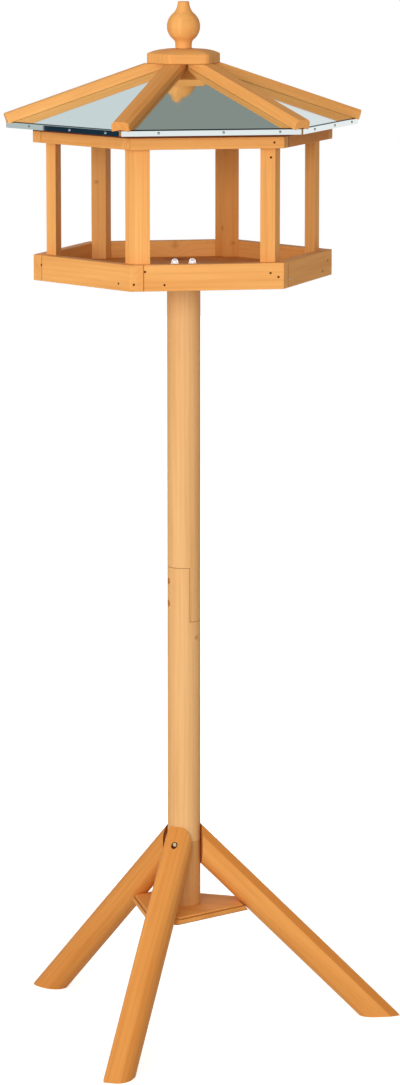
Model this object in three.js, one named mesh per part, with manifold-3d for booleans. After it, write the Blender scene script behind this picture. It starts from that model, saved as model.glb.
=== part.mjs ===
// Bird table: a six-sided feeding house with a sheet-metal roof, on a round post with a three-legged stand.
// Lengths are in millimetres, angles in radians, and +Z is up. While it is built, the post's axis is x = y = 0
// and the ground is z = 0. Plan angles run anticlockwise seen from above, from +X. The flat front of the
// house faces -Y. The finished model is moved sideways only, to stand over the middle of its own outline.

import * as THREE from 'three';
import { mergeVertices } from 'three/addons/utils/BufferGeometryUtils.js';
import Module from 'manifold-3d';

const wasm = await Module();
wasm.setup();

// Fits
const gap = 0.3;
const cutReach = 4000;
const roundSides = 40;
const smallSides = 16;
const arcSteps = 5;
const legArcSteps = 8;

// Plan of the hexagon
const sides = 6;
const sixth = THREE.MathUtils.degToRad(60);
const halfSixth = THREE.MathUtils.degToRad(30);
const firstCorner = THREE.MathUtils.degToRad(240);

// Round post, in two lengths joined by a half lap
const postDiameter = 45;
const postLength = 868.5;
const lapLength = 74.4;
const lapRise = 397.1;
const lapTurn = THREE.MathUtils.degToRad(281);
const lapScrewInsets = [19.5, 24.2];

// Screws of the lap
const lapScrewDiameter = 4;
const lapHeadDiameter = 8.4;
const lapHeadHeight = 2.6;
const lapScrewLength = 36;
const lapHeadSink = 0.8;

// Legs
const legTurns = [-0.5, 124, 242].map(THREE.MathUtils.degToRad);
const legSlope = THREE.MathUtils.degToRad(45.3);
const legWidth = 37;
const legDepth = 39.6;
const legRound = 17;
const legBevelAcross = 4.5;
const legBevelDown = 9.5;
const footReach = 303.5;
const legStandOff = 22.8;

// Screws of the legs
const legScrewDiameter = 4.5;
const legScrewDrop = 20.8;
const legHeadDiameter = 8;
const legHeadHeight = 2.5;
const legHeadSink = 2.2;
const legTipStandOff = 5.5;

// Plate under the post
const plateCorners = 3;
const plateTurn = THREE.MathUtils.degToRad(1);
const plateThird = THREE.MathUtils.degToRad(120);
const plateCornerReach = 77.16;
const plateThickness = 9.5;
const plateStepHeight = 3;
const plateTopReach = 58;
const plateBottomReach = 61.5;
const plateScrewDiameter = 5;
const plateScrewLength = 45;
const plateHeadDiameter = 10;
const plateHeadHeight = 3;

// Feeding tray
const trayReach = 204;
const boardThickness = 15;
const trayBoardHeight = 34.5;
const trayLip = 22;
const floorThickness = 10;

// Fixing of the tray on the post
const boltSpread = 24.2;
const boltDiameter = 6;
const boltDepth = 34;
const boltStand = 8.2;
const washerDiameter = 13;
const washerThickness = 1.4;
const nutWidth = 10;
const nutHeight = 5.4;
const nutDomeDiameter = 9.4;
const nutTotal = 11.5;

// Uprights and the ring that they carry
const uprightSide = 20.3;
const uprightHeight = 201.5;
const openingHeight = 149.5;

// Roof
const eaveReach = 240;
const eaveRise = 27.2;
const roofRise = 81.7;
const sheetThickness = 0.6;
const lipHeight = 7.4;
const deckThickness = 6;
const roofEye = 20;

// Battens over the ridges
const battenWidth = 24;
const battenDepth = 11.1;
const battenChamfer = 3.8;
const battenEndReach = 242;
const battenNoseReach = 23;

// Cap over the battens
const capReach = 51;
const capCornerRound = 10.5;
const capRise = 76.3;
const capSide = 12.6;
const capCrown = 6.4;

// Finial
const finialHeight = 62.5;
const bulbRadius = 22.2;
const bulbHeight = 29.5;
const neckRadius = 11;
const neckHeight = 5.5;
const tipRadius = 7.8;
const tipDrop = 3.5;
const tipFlatRadius = 6.5;
const spigotDiameter = 12;
const spigotLength = 20;

// Places worked out from the sizes above
const cosHalf = Math.cos(halfSixth);
const legInnerFace = footReach * Math.sin(legSlope) - legDepth - gap;
const plateTop = (legInnerFace - plateCornerReach * Math.sin(legSlope)) / Math.cos(legSlope);
const floorBottom = plateTop + postLength;
const floorTop = floorBottom + floorThickness;
const trayTop = floorTop + trayLip;
const trayBottom = trayTop - trayBoardHeight;
const ringBottom = trayTop + openingHeight;
const eaveTop = ringBottom + eaveRise;
const trayApothem = trayReach * cosHalf;
const innerApothem = trayApothem - boardThickness;
const eaveApothem = eaveReach * cosHalf;
const roofPitch = Math.atan2(roofRise, eaveApothem);
const ridgePitch = Math.atan2(roofRise, eaveReach);
const capBottom = eaveTop + capRise;
const capSeat = capBottom + capSide + capCrown;
const lapMiddle = plateTop + lapRise + lapLength / 2;
const postRadius = postDiameter / 2;

// Finishes
const finishes = {
  houseWood: { color: 0xe3a25f, roughness: 0.55, metalness: 0 },
  postWood: { color: 0xe9b47a, roughness: 0.55, metalness: 0 },
  legWood: { color: 0xdb9850, roughness: 0.55, metalness: 0 },
  rawWood: { color: 0xc79a63, roughness: 0.75, metalness: 0 },
  sheetMetal: { color: 0xc9cfcc, roughness: 0.18, metalness: 1 },
  steel: { color: 0xb9bcbd, roughness: 0.35, metalness: 1 },
};

const birdTable = new THREE.Group();

// A closed geometry as a solid that can be joined and cut.
function solidOf(geometry) {
  const bare = geometry.clone();
  bare.deleteAttribute('normal');
  bare.deleteAttribute('uv');
  const merged = mergeVertices(bare);
  return new wasm.Manifold(new wasm.Mesh({
    numProp: 3,
    vertProperties: new Float32Array(merged.attributes.position.array),
    triVerts: new Uint32Array(merged.index.array),
  }));
}

// A joined or cut solid as a geometry again.
function geometryOf(solid) {
  const mesh = solid.getMesh();
  const geometry = new THREE.BufferGeometry();
  geometry.setAttribute('position', new THREE.BufferAttribute(mesh.vertProperties, 3));
  geometry.setIndex(new THREE.BufferAttribute(mesh.triVerts, 1));
  geometry.computeVertexNormals();
  return geometry;
}

// One named piece, turned about the post's axis.
function addPiece(name, geometry, finish, turn = 0) {
  const piece = new THREE.Mesh(geometry, new THREE.MeshStandardMaterial(finishes[finish]));
  piece.name = name;
  piece.rotation.z = turn;
  birdTable.add(piece);
}

// A direction in plan, as a unit vector.
function planDirection(turn) {
  return new THREE.Vector3(Math.cos(turn), Math.sin(turn), 0);
}

// Where two upright planes cross in plan. Each is given by the way it faces and its distance from the axis.
function crossing(turnA, distanceA, turnB, distanceB) {
  const spread = Math.sin(turnB - turnA);
  return new THREE.Vector2(
    (distanceA * Math.sin(turnB) - distanceB * Math.sin(turnA)) / spread,
    (distanceB * Math.cos(turnA) - distanceA * Math.cos(turnB)) / spread,
  );
}

// A plan outline raised from one height to another.
function raised(shape, bottom, top) {
  const geometry = new THREE.ExtrudeGeometry(shape, {
    depth: top - bottom,
    bevelEnabled: false,
    curveSegments: arcSteps,
  });
  return geometry.translate(0, 0, bottom);
}

// An upright cylinder on the axis.
function rod(diameter, bottom, top, facets = roundSides) {
  const geometry = new THREE.CylinderGeometry(diameter / 2, diameter / 2, top - bottom, facets);
  return geometry.rotateX(Math.PI / 2).translate(0, 0, (bottom + top) / 2);
}

// A profile of radius and height, turned about the axis.
function turned(points, facets = roundSides) {
  return new THREE.LatheGeometry(points, facets).rotateX(Math.PI / 2);
}

// The solid without what lies past a plane, which is given by its facing and its distance from the origin.
function trimmed(solid, facing, distance) {
  const block = new THREE.BoxGeometry(cutReach, cutReach, cutReach);
  block.translate(0, 0, distance + cutReach / 2);
  block.applyQuaternion(new THREE.Quaternion().setFromUnitVectors(new THREE.Vector3(0, 0, 1), facing));
  return solid.subtract(solidOf(block));
}

// The solid without what lies past an upright plane.
function trimmedInPlan(solid, turn, distance) {
  return trimmed(solid, planDirection(turn), distance);
}

// The profile of a screw with a flat countersunk head, with its head's face at the given height and the
// shank below it. Extra is what a hole for it needs all round.
function screwProfile(shank, head, headHeight, length, faceHeight, extra) {
  return [
    new THREE.Vector2(0, faceHeight - length - extra),
    new THREE.Vector2(shank / 2 + extra, faceHeight - length - extra),
    new THREE.Vector2(shank / 2 + extra, faceHeight - headHeight),
    new THREE.Vector2(head / 2 + extra, faceHeight),
    new THREE.Vector2(head / 2 + extra, faceHeight + (extra > 0 ? cutReach / 2 : 0)),
    new THREE.Vector2(0, faceHeight + (extra > 0 ? cutReach / 2 : 0)),
  ].filter((point, i, all) => i === 0 || point.distanceTo(all[i - 1]) > 0);
}

// Height of the metal's top face over a point this far from the axis, on the side that faces the point.
function roofHeight(apothem) {
  return eaveTop + roofRise * (1 - apothem / eaveApothem);
}

// Height of the underside of the roof's boards, measured at the same place.
function deckUnderside(apothem) {
  return roofHeight(apothem) - gap - (sheetThickness + deckThickness) / Math.cos(roofPitch);
}

// Round post

function lapScrewHeight(index) {
  return lapMiddle + (index === 0 ? 1 : -1) * (lapLength / 2 - lapScrewInsets[index]);
}

// A screw of the lap lies square to the lap, with its head in the lower post's tongue.
function lapScrewGeometry(index, extra) {
  const face = postRadius - lapHeadSink;
  const profile = screwProfile(lapScrewDiameter, lapHeadDiameter, lapHeadHeight, lapScrewLength, face, extra);
  const geometry = turned(profile, smallSides);
  const facing = planDirection(lapTurn - Math.PI / 2);
  geometry.applyQuaternion(new THREE.Quaternion().setFromUnitVectors(new THREE.Vector3(0, 0, 1), facing));
  return geometry.translate(0, 0, lapScrewHeight(index));
}

function withoutLapScrews(post) {
  return post.subtract(solidOf(lapScrewGeometry(0, gap))).subtract(solidOf(lapScrewGeometry(1, gap)));
}

// A leg screw's head stands this far out from the axis, on the leg's sloping outer face.
function legHeadFace() {
  return legStandOff + legScrewDrop / Math.tan(legSlope) - legHeadSink;
}

function legScrewHeight() {
  return (footReach - legStandOff) * Math.tan(legSlope) - legScrewDrop;
}

function legScrewGeometry(extra) {
  const length = legHeadFace() - legTipStandOff;
  const profile = screwProfile(legScrewDiameter, legHeadDiameter, legHeadHeight, length, legHeadFace(), extra);
  return turned(profile, smallSides).rotateY(Math.PI / 2).translate(0, 0, legScrewHeight());
}

function plateScrewGeometry(extra) {
  const bottom = plateTop - plateThickness;
  const profile = screwProfile(plateScrewDiameter, plateHeadDiameter, plateHeadHeight, plateScrewLength, 0, extra);
  return turned(profile, smallSides).rotateX(Math.PI).translate(0, 0, bottom);
}

function boltPlace(index) {
  return (index === 0 ? -1 : 1) * boltSpread / 2;
}

// A plan block that fills one side of the lap's plane, between two heights.
function lapSide(facing, bottom, top) {
  const block = new THREE.BoxGeometry(cutReach, cutReach, top - bottom);
  block.translate(cutReach / 2 - gap / 2, 0, (bottom + top) / 2);
  return solidOf(block.rotateZ(facing));
}

function addUpperPost() {
  const tongueBottom = lapMiddle - lapLength / 2 + gap;
  const shoulder = lapMiddle + lapLength / 2 + gap;
  let post = solidOf(rod(postDiameter, tongueBottom, floorBottom));
  post = post.subtract(lapSide(lapTurn - Math.PI / 2, tongueBottom - gap, shoulder));
  for (let i = 0; i < 2; i += 1) {
    const bore = rod(boltDiameter + 2 * gap, floorBottom - boltDepth - gap, floorBottom + boltDepth, smallSides);
    post = post.subtract(solidOf(bore.translate(boltPlace(i), 0, 0)));
  }
  addPiece('post_upper', geometryOf(withoutLapScrews(post)), 'postWood');
}

function addLowerPost() {
  const tongueTop = lapMiddle + lapLength / 2;
  const shoulder = lapMiddle - lapLength / 2;
  let post = solidOf(rod(postDiameter, plateTop, tongueTop));
  post = post.subtract(lapSide(lapTurn + Math.PI / 2, shoulder, tongueTop + gap));
  post = withoutLapScrews(post).subtract(solidOf(plateScrewGeometry(gap)));
  for (const turn of legTurns) {
    post = post.subtract(solidOf(legScrewGeometry(gap).rotateZ(turn)));
  }
  addPiece('post_lower', geometryOf(post), 'postWood');
}

function addLapScrews() {
  for (let i = 0; i < 2; i += 1) {
    addPiece(`lap_screw_${i + 1}`, lapScrewGeometry(i, 0), 'steel');
  }
}

// Legs

// The leg's section. Its x is up and out, square to the leg, and its y is clockwise in plan.
function legSection() {
  const half = legWidth / 2;
  const shape = new THREE.Shape();
  shape.moveTo(-legBevelDown, half);
  shape.lineTo(legRound - legDepth, half);
  shape.absarc(legRound - legDepth, half - legRound, legRound, Math.PI / 2, Math.PI, false);
  shape.absarc(legRound - legDepth, legRound - half, legRound, Math.PI, 1.5 * Math.PI, false);
  shape.absarc(-legRound, legRound - half, legRound, 1.5 * Math.PI, 2 * Math.PI, false);
  shape.lineTo(0, half - legBevelAcross);
  return shape;
}

// A leg along +X, with its outer line running from the post's side down to the ground.
function legSolid() {
  const length = footReach / Math.cos(legSlope) + legDepth;
  const geometry = new THREE.ExtrudeGeometry(legSection(), {
    depth: length + legDepth,
    bevelEnabled: false,
    curveSegments: legArcSteps,
  });
  geometry.translate(0, 0, -legDepth);
  const out = new THREE.Vector3(Math.sin(legSlope), 0, Math.cos(legSlope));
  const clockwise = new THREE.Vector3(0, -1, 0);
  const down = new THREE.Vector3(Math.cos(legSlope), 0, -Math.sin(legSlope));
  const place = new THREE.Matrix4().makeBasis(out, clockwise, down);
  place.setPosition(0, 0, footReach * Math.tan(legSlope));
  geometry.applyMatrix4(place);
  let leg = trimmed(solidOf(geometry), new THREE.Vector3(0, 0, -1), 0);
  leg = trimmed(leg, new THREE.Vector3(-1, 0, 0), -legStandOff);
  return leg.subtract(solidOf(legScrewGeometry(gap)));
}

function addLegs() {
  const geometry = geometryOf(legSolid());
  for (const [i, turn] of legTurns.entries()) {
    addPiece(`leg_${i + 1}`, geometry.clone(), 'legWood', turn);
    addPiece(`leg_screw_${i + 1}`, legScrewGeometry(0), 'steel', turn);
  }
}

// Plate under the post

function plateLayer(reach, bottom, top) {
  const facing = plateTurn + plateThird / 2;
  const corners = [];
  for (let i = 0; i < plateCorners; i += 1) {
    corners.push(crossing(facing + i * plateThird, reach, facing + (i + 1) * plateThird, reach));
  }
  return solidOf(raised(new THREE.Shape(corners), bottom, top));
}

// The plate stands at the height where its top corners, cut back along the slope of the legs' inner faces, are at
// plateCornerReach from the axis.
function addBasePlate() {
  const bottom = plateTop - plateThickness;
  let plate = plateLayer(plateTopReach, bottom + plateStepHeight, plateTop);
  plate = plate.add(plateLayer(plateBottomReach, bottom, plateTop - plateStepHeight));
  for (const turn of legTurns) {
    const facing = planDirection(turn).multiplyScalar(Math.sin(legSlope));
    facing.z = Math.cos(legSlope);
    plate = trimmed(plate, facing, legInnerFace);
  }
  plate = plate.subtract(solidOf(plateScrewGeometry(gap)));
  addPiece('base_plate', geometryOf(plate), 'legWood');
  addPiece('plate_screw', plateScrewGeometry(0), 'steel');
}

// Boards round the hexagon

// The plan of a board on the side that faces +X. Each end stops at an upright plane that is parallel to the
// next side, at the given distance from the axis.
function sideOutline(clockwiseStop, anticlockwiseStop) {
  return new THREE.Shape([
    crossing(0, trayApothem, sixth, anticlockwiseStop),
    crossing(0, innerApothem, sixth, anticlockwiseStop),
    crossing(0, innerApothem, -sixth, clockwiseStop),
    crossing(0, trayApothem, -sixth, clockwiseStop),
  ]);
}

function sideTurn(index) {
  return firstCorner + halfSixth + index * sixth;
}

// Each tray board runs past the next one at one end and butts against the one before at the other.
function addTraySides() {
  const outline = sideOutline(innerApothem - gap, trayApothem);
  for (let i = 0; i < sides; i += 1) {
    addPiece(`tray_side_${i + 1}`, raised(outline, trayBottom, trayTop), 'houseWood', sideTurn(i));
  }
}

// Every second rail of the ring runs the full side, and the rails between fit inside them.
function addRingRails() {
  for (let i = 0; i < sides; i += 1) {
    const stop = i % 2 === 0 ? trayApothem : innerApothem - gap;
    let rail = solidOf(raised(sideOutline(stop, stop), ringBottom, capBottom));
    for (const turn of [-sixth, 0, sixth]) {
      const facing = planDirection(turn).multiplyScalar(Math.sin(roofPitch));
      facing.z = Math.cos(roofPitch);
      rail = trimmed(rail, facing, deckUnderside(0) * Math.cos(roofPitch) - gap);
    }
    addPiece(`ring_rail_${i + 1}`, geometryOf(rail), 'houseWood', sideTurn(i));
  }
}

// An upright has a diamond section that fills the corner inside the boards.
function addUprights() {
  const reach = (innerApothem - gap) / cosHalf;
  const half = uprightSide / 2;
  const outline = new THREE.Shape([
    new THREE.Vector2(reach, 0),
    new THREE.Vector2(reach - half, uprightSide * cosHalf),
    new THREE.Vector2(reach - uprightSide, 0),
    new THREE.Vector2(reach - half, -uprightSide * cosHalf),
  ]);
  for (let i = 0; i < sides; i += 1) {
    const turn = firstCorner + i * sixth;
    addPiece(`upright_${i + 1}`, raised(outline, floorTop, floorTop + uprightHeight), 'houseWood', turn);
  }
}

function addTrayFloor() {
  const reach = (innerApothem - gap) / cosHalf;
  const corners = [];
  for (let i = 0; i < sides; i += 1) {
    corners.push(new THREE.Vector2(reach * Math.cos(i * sixth), reach * Math.sin(i * sixth)));
  }
  let floor = solidOf(raised(new THREE.Shape(corners), floorBottom, floorTop));
  for (let i = 0; i < 2; i += 1) {
    const hole = rod(boltDiameter + 2 * gap, floorBottom - boltDepth, floorTop + boltDepth, smallSides);
    floor = floor.subtract(solidOf(hole.translate(boltPlace(i), 0, 0)));
  }
  addPiece('tray_floor', geometryOf(floor), 'houseWood');
}

// Fixing of the tray on the post

// A domed nut on its flat side, with a blind hole for the bolt.
function nutSolid() {
  const bottom = floorTop + washerThickness;
  const across = nutWidth / cosHalf;
  const dome = new THREE.Path();
  dome.moveTo(0, bottom + nutHeight / 2);
  dome.lineTo(nutDomeDiameter / 2, bottom + nutHeight / 2);
  dome.lineTo(nutDomeDiameter / 2, bottom + nutTotal - nutDomeDiameter / 2);
  dome.absarc(0, bottom + nutTotal - nutDomeDiameter / 2, nutDomeDiameter / 2, 0, Math.PI / 2, false);
  let nut = solidOf(rod(across, bottom, bottom + nutHeight, sides));
  nut = nut.add(solidOf(turned(dome.getPoints(arcSteps), smallSides)));
  const bore = rod(boltDiameter + 2 * gap, bottom - boltStand, floorTop + boltStand + gap, smallSides);
  return nut.subtract(solidOf(bore));
}

function addTrayFixing() {
  for (let i = 0; i < 2; i += 1) {
    const place = boltPlace(i);
    const bolt = rod(boltDiameter, floorBottom - boltDepth, floorTop + boltStand, smallSides);
    const washer = solidOf(rod(washerDiameter, floorTop, floorTop + washerThickness, smallSides))
      .subtract(solidOf(rod(boltDiameter + 2 * gap, floorBottom, floorTop + boltStand, smallSides)));
    addPiece(`hanger_bolt_${i + 1}`, bolt.translate(place, 0, 0), 'steel');
    addPiece(`nut_washer_${i + 1}`, geometryOf(washer).translate(place, 0, 0), 'steel');
    addPiece(`cap_nut_${i + 1}`, geometryOf(nutSolid()).translate(place, 0, 0), 'steel');
  }
}

// Roof

// A layer of the roof on the side that faces +X: a section of distance and height, run along the side and
// trimmed to its sixth of the roof.
function roofPanel(section) {
  const geometry = new THREE.ExtrudeGeometry(new THREE.Shape(section), {
    depth: 2 * eaveReach,
    bevelEnabled: false,
  });
  geometry.rotateX(Math.PI / 2).translate(0, eaveReach, 0);
  let panel = trimmedInPlan(solidOf(geometry), halfSixth + Math.PI / 2, -gap / 2);
  panel = trimmedInPlan(panel, -halfSixth - Math.PI / 2, -gap / 2);
  return geometryOf(panel);
}

function addRoofSheets() {
  const drop = sheetThickness / Math.cos(roofPitch);
  const fold = eaveApothem - sheetThickness;
  const section = [
    new THREE.Vector2(roofEye, roofHeight(roofEye) - drop),
    new THREE.Vector2(fold, roofHeight(fold) - drop),
    new THREE.Vector2(fold, eaveTop - lipHeight),
    new THREE.Vector2(eaveApothem, eaveTop - lipHeight),
    new THREE.Vector2(eaveApothem, eaveTop),
    new THREE.Vector2(roofEye, roofHeight(roofEye)),
  ];
  for (let i = 0; i < sides; i += 1) {
    addPiece(`roof_sheet_${i + 1}`, roofPanel(section), 'sheetMetal', sideTurn(i));
  }
}

function addRoofBoards() {
  const thickness = deckThickness / Math.cos(roofPitch);
  const edge = eaveApothem - sheetThickness - gap;
  const section = [
    new THREE.Vector2(roofEye, deckUnderside(roofEye)),
    new THREE.Vector2(edge, deckUnderside(edge)),
    new THREE.Vector2(edge, deckUnderside(edge) + thickness),
    new THREE.Vector2(roofEye, deckUnderside(roofEye) + thickness),
  ];
  for (let i = 0; i < sides; i += 1) {
    addPiece(`roof_board_${i + 1}`, roofPanel(section), 'rawWood', sideTurn(i));
  }
}

// A batten's section, with the ridge at the origin: its underside is a shallow notch over both sheets.
function battenSection() {
  const half = battenWidth / 2;
  const fall = Math.tan(roofPitch) * Math.sin(halfSixth) * Math.cos(ridgePitch) * half;
  const top = gap + battenDepth;
  return new THREE.Shape([
    new THREE.Vector2(0, gap),
    new THREE.Vector2(half, gap - fall),
    new THREE.Vector2(half, top - battenChamfer),
    new THREE.Vector2(half - battenChamfer, top),
    new THREE.Vector2(battenChamfer - half, top),
    new THREE.Vector2(-half, top - battenChamfer),
    new THREE.Vector2(-half, gap - fall),
  ]);
}

// A batten over the ridge along +X, square at the eave, upright at its nose and level under the cap.
function battenSolid() {
  const endReach = battenEndReach - (gap + battenDepth) * Math.sin(ridgePitch);
  const geometry = new THREE.ExtrudeGeometry(battenSection(), {
    depth: endReach / Math.cos(ridgePitch),
    bevelEnabled: false,
  });
  const across = new THREE.Vector3(0, 1, 0);
  const up = new THREE.Vector3(Math.sin(ridgePitch), 0, Math.cos(ridgePitch));
  const down = new THREE.Vector3(Math.cos(ridgePitch), 0, -Math.sin(ridgePitch));
  const place = new THREE.Matrix4().makeBasis(across, up, down);
  place.setPosition(0, 0, roofHeight(0));
  geometry.applyMatrix4(place);
  const batten = trimmed(solidOf(geometry), new THREE.Vector3(0, 0, 1), capBottom - gap);
  return trimmed(batten, new THREE.Vector3(-1, 0, 0), -battenNoseReach);
}

function addBattens() {
  const geometry = geometryOf(battenSolid());
  for (let i = 0; i < sides; i += 1) {
    addPiece(`roof_batten_${i + 1}`, geometry.clone(), 'houseWood', firstCorner + i * sixth);
  }
}

// The cap is a six-sided block with rounded corners. Its top is flat under the finial and falls away more and
// more towards the sides.
const crownShares = [0.3, 0.5, 0.65, 0.78, 0.88, 0.95, 1];
const crownPower = 4;
const capArcSteps = 3;

function addCap() {
  const outline = new THREE.Shape();
  const centre = capReach - capCornerRound / cosHalf;
  for (let i = 0; i < sides; i += 1) {
    const turn = i * sixth;
    const x = centre * Math.cos(turn);
    const y = centre * Math.sin(turn);
    outline.absarc(x, y, capCornerRound, turn - halfSixth, turn + halfSixth, false);
  }
  const rim = outline.getPoints(capArcSteps);
  const points = rim.map((point) => [point.x, point.y, capBottom]);
  for (const share of crownShares) {
    const fall = share > crownShares[0] ? capCrown * share ** crownPower : 0;
    points.push(...rim.map((point) => [point.x * share, point.y * share, capSeat - fall]));
  }
  const bore = rod(spigotDiameter + 2 * gap, capBottom - spigotLength, capSeat + spigotLength, smallSides);
  addPiece('roof_cap', geometryOf(wasm.Manifold.hull(points).subtract(solidOf(bore))), 'houseWood');
}

// The finial is one turning: a spigot, a straight neck, a round bulb and a tip drawn in above it.
const neckFlareShare = 0.35;
const shoulderShares = { firstOut: 0.48, firstUp: 0.2, secondOut: 0.15, secondUp: 0.56 };
const bulbStart = THREE.MathUtils.degToRad(-48);
const bulbEnd = THREE.MathUtils.degToRad(48);

function addFinial() {
  const seat = capSeat + gap;
  const middle = capSeat + bulbHeight;
  const top = capSeat + finialHeight;
  const shoulder = new THREE.Vector2(bulbRadius * Math.cos(bulbEnd), middle + bulbRadius * Math.sin(bulbEnd));
  const collar = new THREE.Vector2(bulbRadius * Math.cos(bulbStart), middle + bulbRadius * Math.sin(bulbStart));
  const tip = new THREE.Vector2(tipRadius, top - tipDrop);
  const width = shoulder.x - tip.x;
  const rise = tip.y - shoulder.y;
  const collarRise = collar.y - capSeat - neckHeight;
  const profile = new THREE.Path();
  profile.moveTo(0, capSeat - spigotLength);
  profile.lineTo(spigotDiameter / 2, capSeat - spigotLength);
  profile.lineTo(spigotDiameter / 2, seat);
  profile.lineTo(neckRadius, seat);
  profile.lineTo(neckRadius, capSeat + neckHeight);
  profile.quadraticCurveTo(neckRadius, collar.y - neckFlareShare * collarRise, collar.x, collar.y);
  profile.absarc(0, middle, bulbRadius, bulbStart, bulbEnd, false);
  profile.bezierCurveTo(
    tip.x + shoulderShares.firstOut * width, shoulder.y + shoulderShares.firstUp * rise,
    tip.x + shoulderShares.secondOut * width, shoulder.y + shoulderShares.secondUp * rise,
    tip.x, tip.y,
  );
  profile.quadraticCurveTo(tip.x, top, tipFlatRadius, top);
  profile.lineTo(0, top);
  addPiece('finial', turned(profile.getPoints(arcSteps)), 'houseWood');
}

addFinial();
addCap();
addBattens();
addRoofSheets();
addRoofBoards();
addRingRails();
addUprights();
addTraySides();
addTrayFloor();
addTrayFixing();
addUpperPost();
addLowerPost();
addLapScrews();
addBasePlate();
addLegs();

// The model stands over the middle of its own outline, with its feet on the ground.
const outline = new THREE.Box3().setFromObject(birdTable, true);
const middle = outline.getCenter(new THREE.Vector3());
birdTable.position.set(-middle.x, -middle.y, 0);

export default birdTable;
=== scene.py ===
"""Looks of a six-sided wooden bird table with a bright sheet-metal roof, on a round post with three legs.

Every piece keeps the place and size of its solid in the frame. Wood gets eased edges and grain that runs
along each piece, the metal gets its bright rolled finish, and nails hold the boards and the roof's lip.
Lengths are in metres. Plan angles run anticlockwise seen from above, from +X.
"""

import math
import random

import bmesh
import bpy
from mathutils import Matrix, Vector


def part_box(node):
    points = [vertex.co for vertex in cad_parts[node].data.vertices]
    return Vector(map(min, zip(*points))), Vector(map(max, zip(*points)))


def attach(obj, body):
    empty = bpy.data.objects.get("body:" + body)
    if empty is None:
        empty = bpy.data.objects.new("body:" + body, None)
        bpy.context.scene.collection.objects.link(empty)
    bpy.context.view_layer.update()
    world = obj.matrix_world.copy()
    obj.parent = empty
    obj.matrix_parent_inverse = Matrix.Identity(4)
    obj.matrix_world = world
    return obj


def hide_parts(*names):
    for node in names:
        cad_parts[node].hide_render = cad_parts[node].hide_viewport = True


bl_info = {
    "name": "Bird table",
    "version": (1, 0, 0),
    "blender": (4, 5, 0),
    "location": "3D View > Sidebar > Bird table",
    "description": "Finishes a wooden bird table: stained pine, bright sheet roof, nails and a pale studio",
    "category": "Object",
}

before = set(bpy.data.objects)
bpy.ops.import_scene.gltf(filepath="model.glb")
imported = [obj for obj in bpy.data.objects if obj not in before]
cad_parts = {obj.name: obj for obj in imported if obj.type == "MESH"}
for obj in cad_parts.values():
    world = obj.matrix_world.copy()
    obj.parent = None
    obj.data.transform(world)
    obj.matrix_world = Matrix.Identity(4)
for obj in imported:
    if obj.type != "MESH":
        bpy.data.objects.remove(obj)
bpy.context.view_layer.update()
MM = 0.001
UP = Vector((0, 0, 1))


def middle_of(node):
    """The middle of a solid's box."""
    low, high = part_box(node)
    return (low + high) / 2


# The house's plan, read from the frame
SIDES = 6
SIXTH = math.radians(60)
FIRST_CORNER = math.radians(240)
AXIS = Vector((middle_of("post_upper").x, middle_of("post_upper").y, 0))
TRAY_APOTHEM = AXIS.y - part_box("tray_side_1")[0].y
TRAY_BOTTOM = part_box("tray_side_1")[0].z
EAVE_APOTHEM = AXIS.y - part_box("roof_sheet_1")[0].y
EAVE_HALF = EAVE_APOTHEM * math.tan(SIXTH / 2)
LIP_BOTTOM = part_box("roof_sheet_1")[0].z
RIDGE_PITCH = math.radians(18.8)

# The stand's plan
LEGS = 3
LEG_SLOPE = math.radians(45.3)
PLATE_TURN = math.radians(1)
LAP = (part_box("post_upper")[0].z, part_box("post_lower")[1].z)

# Modelling
MERGE = 1e-6
POLE_MERGE = 1e-5
NEAR = 2e-5
FLAT = math.radians(1)
SHARP = math.radians(36)
LEVEL = (Vector((1, 0, 0)), Vector((0, 1, 0)))
UPRIGHT = (UP, LEVEL[0])

# How a stick lies in its tree: how far off the heart is, and how far along the trunk it was cut
HEART_FROM = 28 * MM
HEART_TO = 75 * MM
TRUNK_REACH = 4

# How much darker than its neighbours a face is: end grain and cut joints drink more stain, and painted shade
# darkens a leg's cut against the post, a screw's hole, the batten undersides and the top of the ring
END_GRAIN_LEAN = 0.9
END_GRAIN_TONE = 0.08
CUT_AND_SHADE_TONE = 0.85
JOINT_AND_SHADE_TONE = 1.09
SEAM_AND_SHADE_TONE = 1.2
SEAM_AND_SHADE_SHARE = 0.85
# Whole pieces made darker, and lighter where the value is below zero: mostly painted shade and painted light
# for the light each gets, as for the uprights inside the house, upright_4 in another upright's shadow, the
# ring rail under the eave, the tray floor and the legs
TONES = {
    "roof_batten_1": 0.12,
    "roof_batten_6": -0.08,
    "upright_1": -0.08,
    "upright_3": -0.3,
    "upright_4": 0.25,
    "upright_5": -0.35,
    "leg_2": 0.3,
    "leg_3": 0.3,
    "tray_floor": 0.55,
    "tray_side_4": -0.05,
    "ring_rail_2": 0.95,
    "ring_rail_6": 0.10,
}

# Knots: place from the post's axis and radius, both in millimetres, and depth of colour
KNOTS = {
    "house": (
        ((-95.8, 143.8, 1156.7), 3.0, 0.45),
        ((80.3, 148.5, 1090.3), 2.6, 0.45),
        ((94.9, 143.8, 1069.7), 2.6, 0.45),
        ((16.6, 161.7, 1066.6), 5.0, 0.3),
        ((14.0, 126.0, 1050.5), 17.0, 1.0),
    ),
    "post": (
        ((14.5, -17.2, 546.9), 3.2, 0.55),
    ),
}

# Plated steel of each kind: its name, and how rough it is in its roughest marks
STEELS = {
    "crease": ("creased_zinc", 0.6),
    "steel": ("zinc_plated_steel", 0.35),
    "aged": ("dull_brown_steel", 0.5),
    "bright": ("satin_nickel", 0.4),
    "stained": ("brown_screw_heads", 0.7),
    "dull": ("stained_steel_heads", 0.7),
}
SMOOTHEST_SHARE = 0.6
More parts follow.
